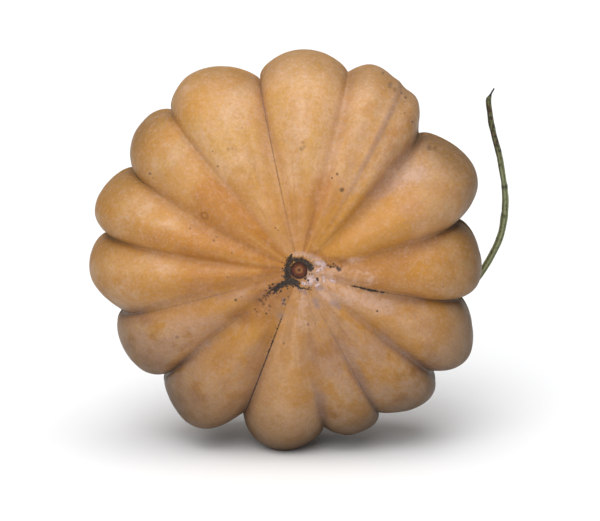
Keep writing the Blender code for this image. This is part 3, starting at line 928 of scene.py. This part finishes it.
class PUMPKIN_OT_stalk(bpy.types.Operator):
    """Grows the ridged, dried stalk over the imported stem"""

    bl_idname = "pumpkin.stalk"
    bl_label = "Grow the stalk"

    def execute(self, context):
        look = context.scene.pumpkin_stalk
        sides, rings, ridges = 40, 360, 5
        stalk = start_fresh(
            lambda: bpy.ops.mesh.primitive_cylinder_add(
                vertices=sides, radius=1.0, depth=2.0, end_fill_type="TRIFAN"
            ),
            "dried_stalk",
        )
        bpy.ops.object.mode_set(mode="EDIT")
        bpy.ops.mesh.select_mode(type="EDGE")
        bpy.ops.mesh.select_all(action="DESELECT")
        bpy.ops.object.mode_set(mode="OBJECT")
        vertices = stalk.data.vertices
        for edge in stalk.data.edges:
            low, high = (vertices[end].co for end in edge.vertices)
            edge.select = abs(low.z - high.z) > 1.0
        bpy.ops.object.mode_set(mode="EDIT")
        bpy.ops.mesh.subdivide(number_cuts=rings - 1)
        bpy.ops.object.mode_set(mode="OBJECT")

        start = Vector((AXIS_X, 0.0, AXIS_Z))
        frames = []
        across = Vector((1, 0, 0))
        for step in range(rings + 1):
            share = step / rings
            ahead = stalk_centre(min(1.0, share + 0.004)) - stalk_centre(max(0.0, share - 0.004))
            ahead.normalize()
            if step == 0:
                ahead = Vector((0, 1, 0))
            across = (across - ahead * across.dot(ahead)).normalized()
            frames.append((start + stalk_centre(share), across.copy(), ahead.cross(across)))

        count = len(vertices)
        bark, age, node_share, ridge_share = np.zeros((count, 3)), *np.zeros((3, count))
        for index, vertex in enumerate(vertices):
            step = round((vertex.co.z + 1) / 2 * rings)
            share = step / rings
            out = math.hypot(vertex.co.x, vertex.co.y)
            turn = math.atan2(vertex.co.y, vertex.co.x)
            centre, across, upward = frames[step]
            foot = look.foot * math.exp(-((share / 0.075) ** 1.5))
            neck = mix(look.neck, look.edge, min(1.0, share / 0.45))
            thinner = 0.6 * smooth(0.62, 0.74, share) + 0.4 * smooth(0.86, 0.94, share)
            slim = mix(neck, look.tip, thinner)
            spike = max(0.0, (share - KNEE) / (1 - KNEE))
            torn = mix(1.0, 0.40, smooth(0.0, 0.30, spike)) * (1 - 0.35 * spike)
            ridge = math.cos(ridges * turn + 0.6 * math.sin(share * 9.0))
            around = Vector((math.cos(turn), math.sin(turn), 0.0))
            lumps = noise.noise(around * 0.8 + Vector((3.0, 0.0, share * 34.0)))
            fine = noise.noise(around * 2.4 + Vector((0.0, 0.0, share * 60.0)))
            knuckle = sum(math.exp(-(((share - node) / 0.004) ** 2)) for node in NODES)
            depth = mix(0.16, 0.08, min(1.0, share / 0.3))
            size = max(foot, slim) * torn * out
            size *= 1 + depth * ridge + 0.20 * lumps + 0.10 * fine + 0.16 * knuckle
            # The tear leaves the spike on the outer side.
            aside = Vector((slim * (1 - torn) * 0.7 * (1 - spike), 0.0, 0.0))
            vertex.co = centre + aside + (across * math.cos(turn) + upward * math.sin(turn)) * size
            bark[index] = (*(around * 1.6).xy, share * 95.0)
            age[index] = smooth(0.69, 0.86, share)
            node_share[index] = max(knuckle, smooth(0.0, 0.35, spike))
            ridge_share[index] = 0.5 + 0.5 * ridge
        set_attribute(stalk.data, "bark", bark)
        set_attribute(stalk.data, "age", age)
        set_attribute(stalk.data, "node", np.clip(node_share, 0, 1))
        set_attribute(stalk.data, "ridge", ridge_share)
        face_outwards(stalk)
        stalk.data.materials.append(stalk_material(look))
        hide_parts("stem")
        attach(stalk, "root")
        return {"FINISHED"}


def soft_light(name, azimuth, elevation, strength, spread):
    """A far, wide and soft light that reaches the whole floor evenly."""
    light = bpy.data.lights.new(name, "SUN")
    light.energy = strength
    light.angle = math.radians(spread)
    lamp = bpy.data.objects.new(name, light)
    side, lift = math.radians(azimuth), math.radians(elevation)
    towards = Vector(
        (math.sin(side) * math.cos(lift), -math.cos(side) * math.cos(lift), math.sin(lift))
    )
    lamp.rotation_euler = towards.to_track_quat("Z", "Y").to_euler()
    bpy.context.scene.collection.objects.link(lamp)


class PUMPKIN_OT_stage(bpy.types.Operator):
    """Lays the pale floor, hangs the soft lights and sets up the camera"""

    bl_idname = "pumpkin.stage"
    bl_label = "Set the stage"

    def execute(self, context):
        look = context.scene.pumpkin_stage
        floor = start_fresh(
            lambda: bpy.ops.mesh.primitive_grid_add(x_subdivisions=8, y_subdivisions=8, size=40.0),
            "studio_floor",
        )
        floor.data.materials.append(floor_material(look))

        soft_light("key_light", -20, 42, look.key, 45)
        soft_light("top_light", 0, 76, look.top, 60)

        world = bpy.data.worlds.new("pale_surround")
        world.use_nodes = True
        world.node_tree.nodes["Background"].inputs["Color"].default_value = (1.0, 1.0, 1.0, 1.0)
        world.node_tree.nodes["Background"].inputs["Strength"].default_value = look.sky
        context.scene.world = world
        context.scene.view_settings.view_transform = "Standard"

        # The camera looks at the fruit's axis from a little above, as the photographer did.
        ahead = Vector((0, math.cos(look.elevation), -math.sin(look.elevation)))
        middle = Vector((AXIS_X + 0.0009, 0.0, AXIS_Z - 0.0078))
        eye = bpy.data.cameras.new("camera")
        eye.sensor_width = 36.0
        eye.lens = eye.sensor_width * look.distance / look.width
        eye.clip_end = 100.0
        camera = bpy.data.objects.new("camera", eye)
        camera.location = middle - ahead * look.distance
        camera.rotation_euler = (math.pi / 2 - look.elevation, 0.0, 0.0)
        context.scene.collection.objects.link(camera)
        context.scene.camera = camera
        return {"FINISHED"}


class VIEW3D_PT_pumpkin(bpy.types.Panel):
    bl_idname = "VIEW3D_PT_pumpkin"
    bl_label = "Ribbed Pumpkin"
    bl_space_type = "VIEW_3D"
    bl_region_type = "UI"
    bl_category = "Pumpkin"

    def draw(self, context):
        for name, operator in STEPS:
            box = self.layout.box()
            box.operator(operator)
            group = getattr(context.scene, name)
            for field in group.bl_rna.properties:
                if field.identifier not in ("rna_type", "name"):
                    box.prop(group, field.identifier)


GROUPS = (
    ("pumpkin_skin", PumpkinSkin),
    ("pumpkin_stalk", PumpkinStalk),
    ("pumpkin_stage", PumpkinStage),
)
STEPS = (
    ("pumpkin_skin", "pumpkin.fruit"),
    ("pumpkin_stalk", "pumpkin.stalk"),
    ("pumpkin_stage", "pumpkin.stage"),
)
CLASSES = (
    PumpkinSkin,
    PumpkinStalk,
    PumpkinStage,
    PUMPKIN_OT_fruit,
    PUMPKIN_OT_stalk,
    PUMPKIN_OT_stage,
    VIEW3D_PT_pumpkin,
)


def register():
    for made in CLASSES:
        bpy.utils.register_class(made)
    for name, group in GROUPS:
        setattr(bpy.types.Scene, name, PointerProperty(type=group))


def unregister():
    for name, _ in GROUPS:
        delattr(bpy.types.Scene, name)
    for made in reversed(CLASSES):
        bpy.utils.unregister_class(made)


def main():
    register()
    bpy.ops.pumpkin.fruit()
    bpy.ops.pumpkin.stalk()
    bpy.ops.pumpkin.stage()


if __name__ == "__main__":
    main()
